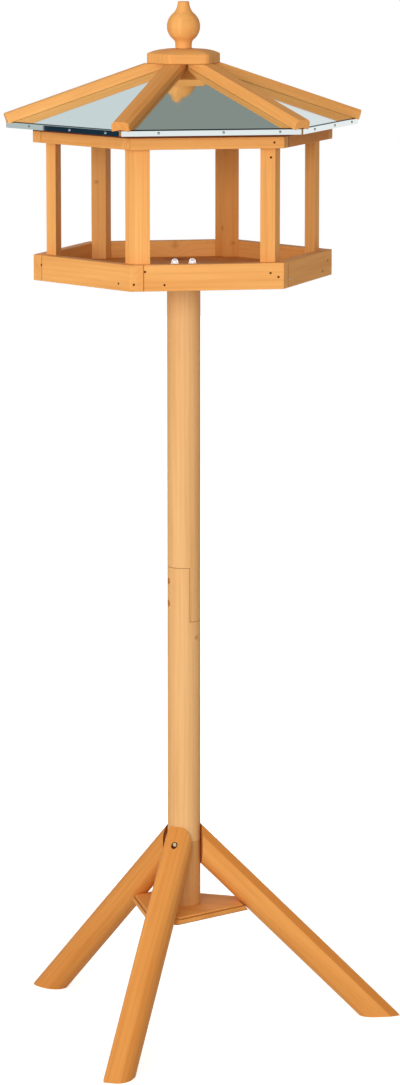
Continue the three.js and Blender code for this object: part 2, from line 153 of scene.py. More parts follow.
# Emission on the domed nuts and their washers: a painted glow for the lamps mirrored in them
NUT_PAINTED_GLOW = 0.45
SHEET_ROUGHNESS = (0.04, 0.08)
LIP_ROUGHNESS = (0.002, 0.012)

# A ring texture of scale 1 turns through this many radians in a metre. Along the trunk it is drawn out.
RING_RATE = 20
TRUNK_SHARE = 0.05

# Limits of Map Range nodes: 1 and 2 are what a texture gives, 3 and 4 how dark that makes the wood
LATE_WOOD = {1: 0.4, 2: 1.0, 3: 0.0, 4: 0.13}
STREAKS = {1: 0.35, 2: 0.75, 3: 0.0, 4: 0.26}
PATCHES = {1: 0.3, 2: 0.75, 3: 0.02, 4: 0.46}

# Most of what a noise texture gives, how rough that makes the wood, and a fade from full to none
MARKS = {1: 0.3, 2: 0.7}
WOOD_ROUGHNESS = {**MARKS, 3: 0.58, 4: 0.72}
FADE = {3: 1.0, 4: 0.0}

# A knot, in shares of its radius: where the rings bend round it and how far, its heart and its rim
BEND_FROM = 0.6
BEND_TO = 3.0
BEND = 1.6
HEART = 0.2
RIM = 0.3


def linear(hex_colour):
    """An sRGB hex colour as the linear red, green, blue and alpha that a shader takes."""
    values = [int(hex_colour[i:i + 2], 16) / 255 for i in (1, 3, 5)]
    return tuple(v / 12.92 if v <= 0.04045 else ((v + 0.055) / 1.055) ** 2.4 for v in values) + (1.0,)


def colour_property(name, description, hex_colour):
    """A colour that the sidebar shows."""
    return bpy.props.FloatVectorProperty(
        name=name, description=description, subtype="COLOR", size=4, min=0, max=1, default=linear(hex_colour))


def length_property(name, description, millimetres):
    """A length that the sidebar shows."""
    return bpy.props.FloatProperty(
        name=name, description=description, unit="LENGTH", min=0, precision=5, default=millimetres * MM)


def number_property(name, description, value, unit="NONE"):
    """A number that the sidebar shows."""
    return bpy.props.FloatProperty(name=name, description=description, unit=unit, default=value)


class BirdTableWood(bpy.types.PropertyGroup):
    """Colours and grain of the wood."""

    house_light: colour_property("House, light", "Pale wood of the house", "#f5b66b")
    house_dark: colour_property("House, dark", "Late wood of the house", "#d78c42")
    post_light: colour_property("Post, light", "Pale wood of the round pole", "#efbf85")
    post_dark: colour_property("Post, dark", "Late wood of the round pole", "#d79d5f")
    leg_light: colour_property("Legs, light", "Pale wood of the legs and the plate", "#f3ac5c")
    leg_dark: colour_property("Legs, dark", "Late wood of the legs and the plate", "#d2863a")
    raw_light: colour_property("Roof boards, light", "Pale wood of the boards under the metal", "#c99a62")
    raw_dark: colour_property("Roof boards, dark", "Late wood of the boards under the metal", "#9a6e3e")
    # The seam colour also fills the batten undersides and the top of the ring under the lip as painted shade
    seam: colour_property("Seams", "Cut edges of the lap, soaked with stain", "#70340a")
    knot: colour_property("Knots", "Heart of a knot", "#7c2e0a")
    ring: length_property("Ring spacing", "Distance between two annual rings", 7)
    fibre: length_property("Fibre width", "Width of a fibre streak, drawn coarse enough to show", 1.4)
    fibre_run: length_property("Fibre length", "Length of a fibre streak", 90)
    patch: length_property("Patch width", "Width of a darker patch of stain", 29.41)
    patch_run: length_property("Patch length", "Length of a darker patch of stain", 285.71)
    easing: length_property("Eased edge", "How far a sawn edge is rounded", 0.8)
    seam_easing: length_property("Eased seam", "How far the lap's cut edges are rounded", 1.6)


class BirdTableMetal(bpy.types.PropertyGroup):
    """Colours and sizes of the metal."""

    sheet: colour_property("Roof sheet", "Bright zinc-coated sheet", "#e2eaea")
    # A band along the fold takes this dark colour as a painted reflection of the fold
    crease: colour_property("Crease", "Dull crease in the sheet along the eave", "#3c4a54")
    aged: colour_property("Leg screws", "Screw heads in the legs, gone dull", "#b9ab8a")
    stained: colour_property("Lap screws", "Heads in the lap, brown with stain", "#b4722f")
    steel: colour_property("Fixings", "Zinc-plated screws and nails", "#8e9192")
    bright: colour_property("Domed nuts", "Satin nickel of the domed nuts", "#ffffff")
    dull: colour_property("Sunk heads", "Heads sunk in the wood, darkened by stain", "#5e3014")
    cloud: length_property("Sheet clouds", "Width of a cloud in the sheet's shine", 62.5)
    wave: length_property("Sheet waves", "Width of a wave left by the rolling", 142.86)
    lip_cloud: length_property("Lip clouds", "Width of a cloud in the lip's shine", 25)
    mark: length_property("Handling marks", "Width of a mark on a screw, nut or nail", 1.1111)
    fold: length_property("Fold", "Rounding of the sheet's fold at the eave", 0.6)
    painted_fold_band_width: length_property("Crease width", "Width of the dull crease along the eave", 2.6)
    lip_trim: length_property("Lip gap", "How far each end of the lip stops short of its corner", 1.7)
    nail_head: length_property("Nail head", "Diameter of a lip nail's head", 3.8)
    nail_crown: length_property("Nail crown", "Height of a lip nail's head", 1.2)
    sunk_head: length_property("Sunk nail head", "Diameter of a nail's head in the wood", 3.2)
    sunk_crown: length_property("Sunk nail crown", "Height of a nail's head in the wood", 0.3)
    nail_shank: length_property("Nail shank", "Diameter of a nail's shank", 1.8)
    nail_length: length_property("Nail length", "Length of a nail", 14)


class BirdTableTurning(bpy.types.PropertyGroup):
    """Sizes of the finial and the cap that their boxes don't give."""

    neck_radius: length_property("Neck radius", "Radius of the finial's neck", 11)
    neck_height: length_property("Neck height", "Straight part of the finial's neck", 5.5)
    bulb_height: length_property("Bulb height", "Height of the bulb's middle above the cap", 29.5)
    finial_height: length_property("Finial height", "Height of the finial above the cap", 62.5)
    tip_radius: length_property("Tip radius", "Radius of the finial's tip", 7.8)
    tip_flat: length_property("Tip flat", "Radius of the flat on the tip", 6.5)
    tip_drop: length_property("Tip drop", "Height of the tip's rounding", 3.5)
    spigot_radius: length_property("Spigot radius", "Radius of the finial's spigot", 6)
    bore_radius: length_property("Bore radius", "Radius of the cap's bore", 6.3)
    cap_reach: length_property("Cap reach", "Distance from the axis to the cap's square corner", 51)
    cap_round: length_property("Cap rounding", "Radius of the cap's upright corners", 10.5)
    cap_crown: length_property("Cap crown", "Rise of the cap's domed top", 6.4)


class BirdTableStudio(bpy.types.PropertyGroup):
    """Light, floor and camera."""

    floor: colour_property("Floor", "Pale studio floor", "#d6d6d3")
    key_power: number_property("Key light", "Power of the large soft light", 56, "POWER")
    fill_power: number_property("Fill light", "Power of the soft light beside the camera", 47, "POWER")
    back_power: number_property("Back light", "Power of the weak light behind the table", 22, "POWER")
    room: colour_property("Room", "Warm white of the room's light", "#fff5e6")
    horizon: number_property("Low room light", "Strength of the room's light from the sides", 0.54)
    zenith: number_property("High room light", "Strength of the room's light from above", 0.62)
    camera_reach: length_property("Camera distance", "Level distance from the post to the camera", 5578.9)
    camera_height: length_property("Camera height", "Height of the camera above the ground", 1596.6)
    lens: number_property("Lens", "Focal length on a 36 mm sensor", 137.8)


def settings(context, group):
    """One of the add-on's groups of settings."""
    return getattr(context.scene, "bird_table_" + group)


def plan(turn):
    """A level direction, as a unit vector."""
    return Vector((math.cos(turn), math.sin(turn), 0))


def side_turn(index):
    """The way that side number index of the house faces, counted from 0 at the front."""
    return FIRST_CORNER + SIXTH / 2 + index * SIXTH


def corner_turn(index):
    """The plan angle of corner number index of the house."""
    return FIRST_CORNER + index * SIXTH


def leg_screw(index):
    """The place on the post's axis at the height of a leg's screw, and the level way out to the leg."""
    middle = middle_of(f"leg_screw_{index + 1}")
    base = AXIS + UP * middle.z
    return base, (middle - base).normalized()


# Shader nodes and materials

RGBA = {"data_type": "RGBA"}
SOFT = {"interpolation_type": "SMOOTHSTEP"}


def add_node(tree, kind, options=None, links=None):
    """Adds one shader node. Options set its own settings or its sockets, and links fill its sockets.

    A link comes from a socket, or from the first output of a node. Of the sockets that go by number, a Mix
    node has its colours in 6 and 7, and a Map Range node its four limits in 1 to 4.
    """
    node = tree.nodes.new("ShaderNode" + kind)
    for key, value in (options or {}).items():
        if isinstance(key, str) and hasattr(node, key):
            setattr(node, key, value)
        else:
            node.inputs[key].default_value = value
    for key, source in (links or {}).items():
        first = source.outputs[0] if isinstance(source, bpy.types.Node) else source
        tree.links.new(first, node.inputs[key])
    return node


def empty_material(name):
    """A material with no nodes, and its node tree."""
    material = bpy.data.materials.new(name)
    material.use_nodes = True
    material.node_tree.nodes.clear()
    return material, material.node_tree


def surface(tree, options, links):
    """Ends a material's tree with its shader."""
    shader = add_node(tree, "BsdfPrincipled", options, links)
    add_node(tree, "OutputMaterial", None, {"Surface": shader})


def stained_pine(name, wood, light, dark, knots=()):
    """Pine, planed and stained: soft annual rings and fine streaks along the piece under a satin finish.

    The grain attribute holds each point's place along and across the piece, and the tone attribute says how
    much darker a face is, from stain it drank and from painted shade. The rings bend round the knots, which
    have a dark heart and rim.
    """
    material, tree = empty_material(name)
    grain = add_node(tree, "Attribute", {"attribute_name": "grain"}).outputs["Vector"]
    tone = add_node(tree, "Attribute", {"attribute_name": "tone"}).outputs["Fac"]
    place = add_node(tree, "TexCoord").outputs["Object"]
    hearts = []
    for centre, size, depth in knots:
        radius = size * MM
        spot = AXIS + Vector(centre) * MM
        away = add_node(tree, "VectorMath", {"operation": "DISTANCE", 1: spot}, {0: place}).outputs["Value"]
        near = add_node(
            tree, "MapRange", {**SOFT, **FADE, 1: radius * BEND_FROM, 2: radius * BEND_TO}, {0: away})
        push = add_node(tree, "CombineXYZ", None, {1: near})
        grain = add_node(
            tree, "VectorMath", {"operation": "MULTIPLY_ADD", 1: (0, radius * BEND, 0)}, {0: push, 2: grain})
        off_rim = add_node(tree, "Math", {"operation": "SUBTRACT", 1: radius}, {0: away})
        rim = add_node(tree, "Math", {"operation": "ABSOLUTE"}, {0: off_rim})
        for distance, dark_to, light_from, deepest in (
                (away, radius * HEART, radius, depth), (rim, 0.0, radius * RIM, depth / 2)):
            hearts.append(add_node(
                tree, "MapRange", {**SOFT, 1: dark_to, 2: light_from, 3: deepest, 4: 0.0}, {0: distance}))
    ring_scale = 2 * math.pi / RING_RATE / wood.ring
    stretched = add_node(
        tree, "Mapping", {"Scale": (ring_scale * TRUNK_SHARE, ring_scale, ring_scale)}, {"Vector": grain})
    rings = add_node(
        tree, "TexWave",
        {"wave_type": "RINGS", "rings_direction": "X", "wave_profile": "SIN", "Scale": 1.0, "Distortion": 7.0,
         "Detail": 2.0, "Detail Scale": 1.1, "Detail Roughness": 0.55}, {"Vector": stretched})
    streaked = add_node(
        tree, "Mapping", {"Scale": (1 / wood.fibre_run, 1 / wood.fibre, 1 / wood.fibre)}, {"Vector": grain})
    fibre = add_node(
        tree, "TexNoise", {"Scale": 1.0, "Detail": 3.0, "Roughness": 0.6}, {"Vector": streaked})
    clouded = add_node(
        tree, "Mapping", {"Scale": (1 / wood.patch_run, 1 / wood.patch, 1 / wood.patch)}, {"Vector": grain})
    cloud = add_node(tree, "TexNoise", {"Scale": 1.0, "Detail": 2.0, "Roughness": 0.5}, {"Vector": clouded})
    late = add_node(tree, "MapRange", {**SOFT, **LATE_WOOD}, {0: rings.outputs["Fac"]})
    streak = add_node(tree, "MapRange", STREAKS, {0: fibre.outputs["Fac"]})
    patch = add_node(tree, "MapRange", PATCHES, {0: cloud.outputs["Fac"]})
    darkness = tone
    for part in (late, streak, patch):
        darkness = add_node(tree, "Math", {"operation": "ADD"}, {0: darkness, 1: part})
    stained = add_node(tree, "Mix", {**RGBA, 6: light, 7: dark}, {0: darkness}).outputs[2]
    # Faces toned near the seam tone take the seam colour: the lap's seam, and painted shade under the battens
    # and along the top of the ring
    seam_and_shade = add_node(
        tree, "MapRange", {**SOFT, 1: SEAM_AND_SHADE_TONE * SEAM_AND_SHADE_SHARE, 2: SEAM_AND_SHADE_TONE, 3: 0.0, 4: 1.0}, {0: tone})
    colour = add_node(tree, "Mix", {**RGBA, 7: tuple(wood.seam)}, {0: seam_and_shade, 6: stained}).outputs[2]
    if hearts:
        heart = hearts[0]
        for more in hearts[1:]:
            heart = add_node(tree, "Math", {"operation": "MAXIMUM"}, {0: heart, 1: more})
        colour = add_node(tree, "Mix", {**RGBA, 7: tuple(wood.knot)}, {0: heart, 6: colour}).outputs[2]
    rough = add_node(tree, "MapRange", WOOD_ROUGHNESS, {0: fibre.outputs["Fac"]})
    raised = add_node(
        tree, "Bump", {"Strength": 0.25, "Distance": 0.15 * MM}, {"Height": fibre.outputs["Fac"]})
    surface(
        tree, {"IOR": 1.5, "Metallic": 0.0, "Specular IOR Level": 0.28},
        {"Base Color": colour, "Roughness": rough, "Normal": raised})
    return material


def marked_metal(name, mark, smoothest, roughest, detail=3.0, contrast=0.55):
    """Starts a metal whose shine is uneven, with clouds or marks of one size."""
    material, tree = empty_material(name)
    place = add_node(tree, "TexCoord").outputs["Object"]
    marks = add_node(
        tree, "TexNoise", {"Scale": 1 / mark, "Detail": detail, "Roughness": contrast}, {"Vector": place})
    rough = add_node(
        tree, "MapRange", {**MARKS, 3: smoothest, 4: roughest}, {0: marks.outputs["Fac"]})
    return material, tree, place, rough


def bright_sheet(name, metal):
    """Rolled zinc-coated steel sheet: nearly a mirror, with slow waves and faint clouds from the rolling."""
    material, tree, place, rough = marked_metal(name, metal.cloud, *SHEET_ROUGHNESS)
    wave = add_node(tree, "TexNoise", {"Scale": 1 / metal.wave, "Detail": 1.0}, {"Vector": place})
    bent = add_node(tree, "Bump", {"Strength": 0.4, "Distance": 0.6 * MM}, {"Height": wave.outputs["Fac"]})
    surface(tree, {"Base Color": tuple(metal.sheet), "Metallic": 1.0}, {"Roughness": rough, "Normal": bent})
    return material


def folded_lip(name, metal):
    """The same sheet where it is pressed flat over the eave: a clean mirror with the faintest clouds."""
    material, tree, place, rough = marked_metal(name, metal.lip_cloud, *LIP_ROUGHNESS)
    surface(tree, {"Base Color": tuple(metal.sheet), "Metallic": 1.0}, {"Roughness": rough})
    return material


def plated_steel(name, metal, colour, roughest, painted_glow):
    """Plated steel of screws, nuts and nails: a soft shine with fine handling marks.

    The painted glow is emission that paints in the white a polished dome takes on when lamps all round are
    mirrored in it.
    """
    material, tree, place, rough = marked_metal(
        name, metal.mark, roughest * SMOOTHEST_SHARE, roughest, detail=2.0, contrast=0.6)
    surface(
        tree, {"Base Color": colour, "Metallic": 1.0, "Emission Color": colour, "Emission Strength": painted_glow},
        {"Roughness": rough})
    return material


def wood_of(context, kind):
    """The stained pine of one part of the table, made when it is first asked for."""
    name = f"stained_pine_{kind}"
    if name in bpy.data.materials:
        return bpy.data.materials[name]
    wood = settings(context, "wood")
    light = tuple(getattr(wood, kind + "_light"))
    dark = tuple(getattr(wood, kind + "_dark"))
    return stained_pine(name, wood, light, dark, KNOTS.get(kind, ()))


def metal_of(context, kind):
    """A metal of the table, made when it is first asked for."""
    sheets = {"sheet": ("zinc_coated_sheet", bright_sheet), "lip": ("zinc_coated_lip", folded_lip)}
    name = (sheets.get(kind) or STEELS[kind])[0]
    if name in bpy.data.materials:
        return bpy.data.materials[name]
    metal = settings(context, "metal")
    if kind in sheets:
        return sheets[kind][1](name, metal)
    painted_glow = NUT_PAINTED_GLOW if kind == "bright" else 0.0
    return plated_steel(name, metal, tuple(getattr(metal, kind)), STEELS[kind][1], painted_glow)


def new_object(name, data):
    """A new object in the scene."""
    made = bpy.data.objects.new(name, data)
    bpy.context.scene.collection.objects.link(made)
    return made


# Meshes

def copy_of(node):
    """A solid's mesh with shared corners and whole flat faces."""
    bm = bmesh.new()
    bm.from_mesh(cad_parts[node].data)
    bmesh.ops.remove_doubles(bm, verts=bm.verts, dist=MERGE)
    bmesh.ops.dissolve_limit(bm, angle_limit=FLAT, verts=bm.verts, edges=bm.edges)
    bm.faces.layers.float.new("tone")
    return bm


def ease_edges(bm, width, sharper_than=SHARP, keep=lambda edge: True):
    """Rounds the edges that are sharper than the angle, and gives back the rounded faces."""
    edges = [e for e in bm.edges if len(e.link_faces) == 2 and e.calc_face_angle() > sharper_than and keep(e)]
    made = bmesh.ops.bevel(
        bm, geom=edges, offset=width, offset_type="OFFSET", segments=2, profile=0.5, affect="EDGES",
        clamp_overlap=True, material=-1)
    return made["faces"]


def cut_across(bm, place, way):
    """Marks a mesh off with a cut through all its faces."""
    bmesh.ops.bisect_plane(
        bm, geom=bm.verts[:] + bm.edges[:] + bm.faces[:], plane_co=place, plane_no=way)


def tone_faces(bm, tone, along, shade=lambda face: 0):
    """Stores how dark each face is, from stain and from painted shade."""
    layer = bm.faces.layers.float.get("tone") or bm.faces.layers.float.new("tone")
    for face in bm.faces:
        end_grain = abs(face.normal.dot(along)) > END_GRAIN_LEAN
        face[layer] = tone + shade(face) + (END_GRAIN_TONE if end_grain else 0)
    return layer


def lay_grain(piece, along, across):
    """Stores each corner's place along and across the grain, with the tree's heart off to one side."""
    draw = random.Random(piece.name)
    heart = draw.uniform(HEART_FROM, HEART_TO)
    turn = draw.uniform(0, 2 * math.pi)
    shift = (draw.uniform(-TRUNK_REACH, TRUNK_REACH), heart * math.cos(turn), heart * math.sin(turn))
    axes = (along, across, along.cross(across))
    centre = (Vector(piece.bound_box[0]) + Vector(piece.bound_box[6])) / 2
    values = [
        (v.co - centre).dot(axis) + move for v in piece.data.vertices for axis, move in zip(axes, shift)]
    attribute = piece.data.attributes.new("grain", "FLOAT_VECTOR", "POINT")
    attribute.data.foreach_set("vector", values)


def finish_piece(name, bm, material, nodes=(), grain=None):
    """Makes a piece of a mesh, shades it, and lets it ride on the table in place of its solids."""
    mesh = bpy.data.meshes.new(name)
    bm.to_mesh(mesh)
    bm.free()
    mesh.shade_smooth()
    mesh.set_sharp_from_angle(angle=SHARP)
    mesh.materials.append(material)
    piece = new_object(name, mesh)
    if grain is not None:
        lay_grain(piece, *grain)
    flat_first = piece.modifiers.new("flat faces stay flat", "WEIGHTED_NORMAL")
    flat_first.keep_sharp = True
    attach(piece, "root")
    if nodes:
        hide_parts(*nodes)
    return piece


def wooden_copy(context, node, kind, grain, sharper_than=SHARP, easing_share=1, shape=lambda bm: None,
                shade=lambda face: 0):
    """A wooden piece with the shape of its solid, eased edges and its grain."""
    bm = copy_of(node)
    ease_edges(bm, settings(context, "wood").easing * easing_share, sharper_than)
    shape(bm)
    tone_faces(bm, TONES.get(node, 0), grain[0], shade)
    return finish_piece(node + "_piece", bm, wood_of(context, kind), (node,), grain)


def spun(bm, points, base, up, steps):
    """Turns a profile of radius and height about the line through base."""
    side = up.orthogonal().normalized()
    corners = [bm.verts.new(base + side * radius + up * height) for radius, height in points]
    lines = [bm.edges.new(pair) for pair in zip(corners, corners[1:])]
    bmesh.ops.spin(
        bm, geom=corners + lines, cent=base, axis=up, angle=2 * math.pi, steps=steps, use_merge=True)


def close_turning(bm):
    """Joins a turning's poles and seam, and turns its faces outwards."""
    bmesh.ops.remove_doubles(bm, verts=bm.verts, dist=POLE_MERGE)
    bmesh.ops.recalc_face_normals(bm, faces=bm.faces)


def spread(start, end, steps):
    """Values from start to end, evenly spread."""
    return [start + (end - start) * i / steps for i in range(steps + 1)]


def arc(height, radius, start, end, steps):
    """Points of a round stretch of a profile, with its centre on the axis."""
    return [(radius * math.cos(t), height + radius * math.sin(t)) for t in spread(start, end, steps)]


def curve(points, steps):
    """Points of a Bezier stretch of a profile, without its first one."""
    made = []
    for t in spread(0, 1, steps)[1:]:
        level = [Vector(p) for p in points]
        while len(level) > 1:
            level = [a.lerp(b, t) for a, b in zip(level, level[1:])]
        made.append(tuple(level[0]))
    return made


class BIRD_TABLE_OT_finial(bpy.types.Operator):
    """Turns the finial: a neck, a round bulb and a drawn-in tip"""

    bl_idname = "bird_table.finial"
    bl_label = "Finial"
    bulb_start = math.radians(-48)
    bulb_end = math.radians(48)
    flare_share = 0.35
    shoulder_shares = ((0.48, 0.20), (0.15, 0.56))
    seat_gap = 0.3 * MM
    neck_steps = 6
    bulb_steps = 20
    shoulder_steps = 12
    tip_steps = 5
    turn_steps = 72

    def execute(self, context):
        turning = settings(context, "turning")
        low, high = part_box("finial")
        bulb = (high.x - low.x) / 2
        seat = high.z - turning.finial_height
        swell = arc(turning.bulb_height, bulb, self.bulb_start, self.bulb_end, self.bulb_steps)
        collar = swell[0]
        shoulder = swell[-1]
        tip = (turning.tip_radius, turning.finial_height - turning.tip_drop)
        flare = collar[1] - self.flare_share * (collar[1] - turning.neck_height)
        width = shoulder[0] - tip[0]
        rise = tip[1] - shoulder[1]
        bends = [(tip[0] + out * width, shoulder[1] + up * rise) for out, up in self.shoulder_shares]
        neck = (turning.neck_radius, turning.neck_height)
        top = turning.finial_height
        profile = [(0, low.z - seat), (turning.spigot_radius, low.z - seat)]
        profile += [(turning.spigot_radius, self.seat_gap), (turning.neck_radius, self.seat_gap), neck]
        profile += curve([neck, (turning.neck_radius, flare), collar], self.neck_steps)
        profile += swell[1:]
        profile += curve([shoulder, *bends, tip], self.shoulder_steps)
        profile += curve([tip, (tip[0], top), (turning.tip_flat, top)], self.tip_steps)
        profile += [(0, top)]
        bm = bmesh.new()
        spun(bm, profile, AXIS + UP * seat, UP, self.turn_steps)
        close_turning(bm)
        tone_faces(bm, 0, UP)
        finish_piece("finial_piece", bm, wood_of(context, "house"), ("finial",), UPRIGHT)
        return {"FINISHED"}


class BIRD_TABLE_OT_cap(bpy.types.Operator):
    """Shapes the cap: a six-sided block with rounded corners and a domed top"""

    bl_idname = "bird_table.cap"
    bl_label = "Roof cap"
    flat_share = 0.3
    crown_power = 4
    crown_steps = 14
    turn_steps = 144
    sharp = math.radians(45)

    def rim(self, turning, turn):
        """Distance from the axis to the cap's side at a plan angle."""
        apothem = turning.cap_reach * math.cos(SIXTH / 2)
        off_middle = abs((turn % SIXTH) - SIXTH / 2)
        flat_part = (apothem - turning.cap_round) * math.tan(SIXTH / 2)
        if apothem * math.tan(off_middle) <= flat_part:
            return apothem / math.cos(off_middle)
        centre = (apothem - turning.cap_round) / math.cos(SIXTH / 2)
        off_corner = SIXTH / 2 - off_middle
        across = centre * math.sin(off_corner)
        return centre * math.cos(off_corner) + math.sqrt(turning.cap_round ** 2 - across ** 2)

    def execute(self, context):
        turning = settings(context, "turning")
        low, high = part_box("roof_cap")
        reach = turning.cap_reach
        top = high.z - low.z
        shares = spread(self.flat_share, 1, self.crown_steps)
        bm = bmesh.new()
        profile = [(turning.bore_radius, top)]
        profile += [(reach * s, top - turning.cap_crown * s ** self.crown_power) for s in shares]
        profile += [(reach, 0), (turning.bore_radius, 0), (turning.bore_radius, top)]
        base = AXIS + UP * low.z
        spun(bm, profile, base, UP, self.turn_steps)
        close_turning(bm)
        for vertex in bm.verts:
            offset = vertex.co - base
            if math.hypot(offset.x, offset.y) > reach * self.flat_share - MERGE:
                grown = self.rim(turning, math.atan2(offset.y, offset.x)) / reach
                vertex.co.x = base.x + offset.x * grown
                vertex.co.y = base.y + offset.y * grown
        bm.normal_update()
        ease_edges(bm, settings(context, "wood").easing, self.sharp)
        tone_faces(bm, 0, LEVEL[0])
        finish_piece("roof_cap_piece", bm, wood_of(context, "house"), ("roof_cap",), LEVEL)
        return {"FINISHED"}


class BIRD_TABLE_OT_roof(bpy.types.Operator):
    """Finishes the battens, the metal sheets and the boards under them"""

    bl_idname = "bird_table.roof"
    bl_label = "Roof"
    fold_clear = 2 * MM
    eave_depth = 1.5 * MM
    eave_end_share = 0.9
    lip_lean = 0.8
    bedding = 0.3 * MM
    batten_sharp = math.radians(30)
    batten_easing_share = 0.6
    board_easing_share = 0.5
    # A batten's underside faces down at least this much, and is darkened as painted shade where it sits on
    # its sheet
    under_lean = -0.45

    def execute(self, context):
        for index in range(SIDES):
            out = plan(corner_turn(index))
            down = out * math.cos(RIDGE_PITCH) - UP * math.sin(RIDGE_PITCH)
            # Each batten's underside takes the seam colour as painted shade along its sheet
            wooden_copy(
                context, f"roof_batten_{index + 1}", "house", (down, UP.cross(out)),
                sharper_than=self.batten_sharp, easing_share=self.batten_easing_share, shape=self.bed,
                shade=lambda face: SEAM_AND_SHADE_TONE if face.normal.z < self.under_lean else 0)
            facing = plan(side_turn(index))
            wooden_copy(
                context, f"roof_board_{index + 1}", "raw", (UP.cross(facing), facing),
                easing_share=self.board_easing_share)
            self.sheet(context, f"roof_sheet_{index + 1}", facing)
        return {"FINISHED"}

    def bed(self, bm):
        """Lets a batten down on the sheets."""
        under = {v for face in bm.faces if face.normal.z < self.under_lean for v in face.verts}
        bmesh.ops.translate(bm, verts=list(under), vec=-UP * self.bedding)

    def sheet(self, context, node, facing):
        """One sheet with a rounded fold and a lip that stops just short of its corners."""
        metal = settings(context, "metal")
        along = UP.cross(facing)
        bm = copy_of(node)
        for vertex in bm.verts:
            offset = vertex.co - AXIS
            aside = offset.dot(along)
            at_eave = offset.dot(facing) > EAVE_APOTHEM - self.eave_depth
            if at_eave and abs(aside) > EAVE_HALF * self.eave_end_share:
                vertex.co -= along * math.copysign(metal.lip_trim, aside)
        bm.normal_update()
        ease_edges(bm, metal.fold, SHARP, lambda edge: self.is_fold(edge, facing))
        # A band of the sheet's top along the eave takes a dark colour, a painted reflection of the fold
        crease = EAVE_APOTHEM - metal.painted_fold_band_width
        cut_across(bm, AXIS + facing * crease, facing)
        piece = finish_piece(node + "_piece", bm, metal_of(context, "sheet"), (node,))
        piece.data.materials.append(metal_of(context, "lip"))
        piece.data.materials.append(metal_of(context, "crease"))
        for polygon in piece.data.polygons:
            if polygon.normal.dot(facing) > self.lip_lean:
                polygon.material_index = 1
            elif polygon.normal.z > 0 and (polygon.center - AXIS).dot(facing) > crease:
                polygon.material_index = 2

    def is_fold(self, edge, facing):
        """True for the outer fold at the eave."""
        reach = min((v.co - AXIS).dot(facing) for v in edge.verts)
        level = min(v.co.z for v in edge.verts)
        return reach > EAVE_APOTHEM - NEAR and level > LIP_BOTTOM + self.fold_clear


class BIRD_TABLE_OT_house(bpy.types.Operator):
    """Finishes the ring, the uprights and the feeding tray"""

    bl_idname = "bird_table.house"
    bl_label = "House"
    # Painted shade along the top of the ring, under the lip
    lip_shade_from = LIP_BOTTOM - 4.8 * MM
    joint_from = 0.2
    joint_to = 0.8
    ring_joint_tone = CUT_AND_SHADE_TONE / 2

    def joint(self, face, along, tone):
        """The tone of the eased edges where a board butts on the one before it."""
        return tone if self.joint_from < -face.normal.dot(along) < self.joint_to else 0

    def stained(self, face):
        """The tone of the top of the ring: painted shade under the lip."""
        return SEAM_AND_SHADE_TONE if face.calc_center_median().z > self.lip_shade_from else 0

    def execute(self, context):
        for index in range(SIDES):
            along = UP.cross(plan(side_turn(index)))
            wooden_copy(
                context, f"tray_side_{index + 1}", "house", (along, UP),
                shade=lambda face, way=along: self.joint(face, way, JOINT_AND_SHADE_TONE))
            # The top of each ring rail is darkened as painted shade under the lip
            wooden_copy(
                context, f"ring_rail_{index + 1}", "house", (along, UP),
                shape=lambda bm: cut_across(bm, UP * self.lip_shade_from, UP),
                shade=lambda face, way=along:
                max(self.joint(face, way, self.ring_joint_tone), self.stained(face)))
            wooden_copy(context, f"upright_{index + 1}", "house", (UP, plan(corner_turn(index))))
        wooden_copy(context, "tray_floor", "house", LEVEL)
        return {"FINISHED"}


class BIRD_TABLE_OT_fixings(bpy.types.Operator):
    """Finishes the bolts, nuts, washers and screws"""

    bl_idname = "bird_table.fixings"
    bl_label = "Fixings"
    kinds = {
        "bright": ("cap_nut_1", "cap_nut_2", "nut_washer_1", "nut_washer_2"),
        "steel": ("hanger_bolt_1", "hanger_bolt_2", "plate_screw"),
        "stained": ("lap_screw_1", "lap_screw_2"),
        "aged": ("leg_screw_1", "leg_screw_2", "leg_screw_3"),
    }
    edge = 0.25 * MM
    shank = 2.6 * MM
    head_share = 0.68

    def slim_head(self, bm, index):
        """Draws a leg screw's head in, so that its hole shows round it as a dark ring."""
        base, way = leg_screw(index)
        for vertex in bm.verts:
            offset = vertex.co - base
            out = offset - way * offset.dot(way)
            if out.length > self.shank:
                vertex.co -= out * (1 - self.head_share)

    def execute(self, context):
        for kind, names in self.kinds.items():
            for index, name in enumerate(names):
                bm = copy_of(name)
                if kind == "aged":
                    self.slim_head(bm, index)
                ease_edges(bm, self.edge)
                finish_piece(name + "_piece", bm, metal_of(context, kind), (name,))
        return {"FINISHED"}


class BIRD_TABLE_OT_post(bpy.types.Operator):
    """Finishes the two lengths of the round post and their lap"""

    bl_idname = "bird_table.post"
    bl_label = "Post"
    # Below the legs' heads the post is darkened as painted shade from the legs
    foot_shade_tone = 0.8
    lap_margin = 1 * MM

    def in_lap(self, edge):
        """True for an edge at the height of the lap."""
        low, high = LAP
        return all(low - self.lap_margin < v.co.z < high + self.lap_margin for v in edge.verts)

    def execute(self, context):
        wood = settings(context, "wood")
        foot = middle_of("leg_screw_1").z
        for node in ("post_upper", "post_lower"):
            bm = copy_of(node)
            ease_edges(bm, wood.easing, SHARP, lambda edge: not self.in_lap(edge))
            seam = ease_edges(bm, wood.seam_easing, SHARP, self.in_lap)
            cut_across(bm, UP * foot, UP)
            tone = tone_faces(
                bm, 0, UP, lambda face: self.foot_shade_tone if face.calc_center_median().z < foot else 0)
            for face in seam:
                face[tone] = SEAM_AND_SHADE_TONE
            finish_piece(node + "_piece", bm, wood_of(context, "post"), (node,), UPRIGHT)
        return {"FINISHED"}


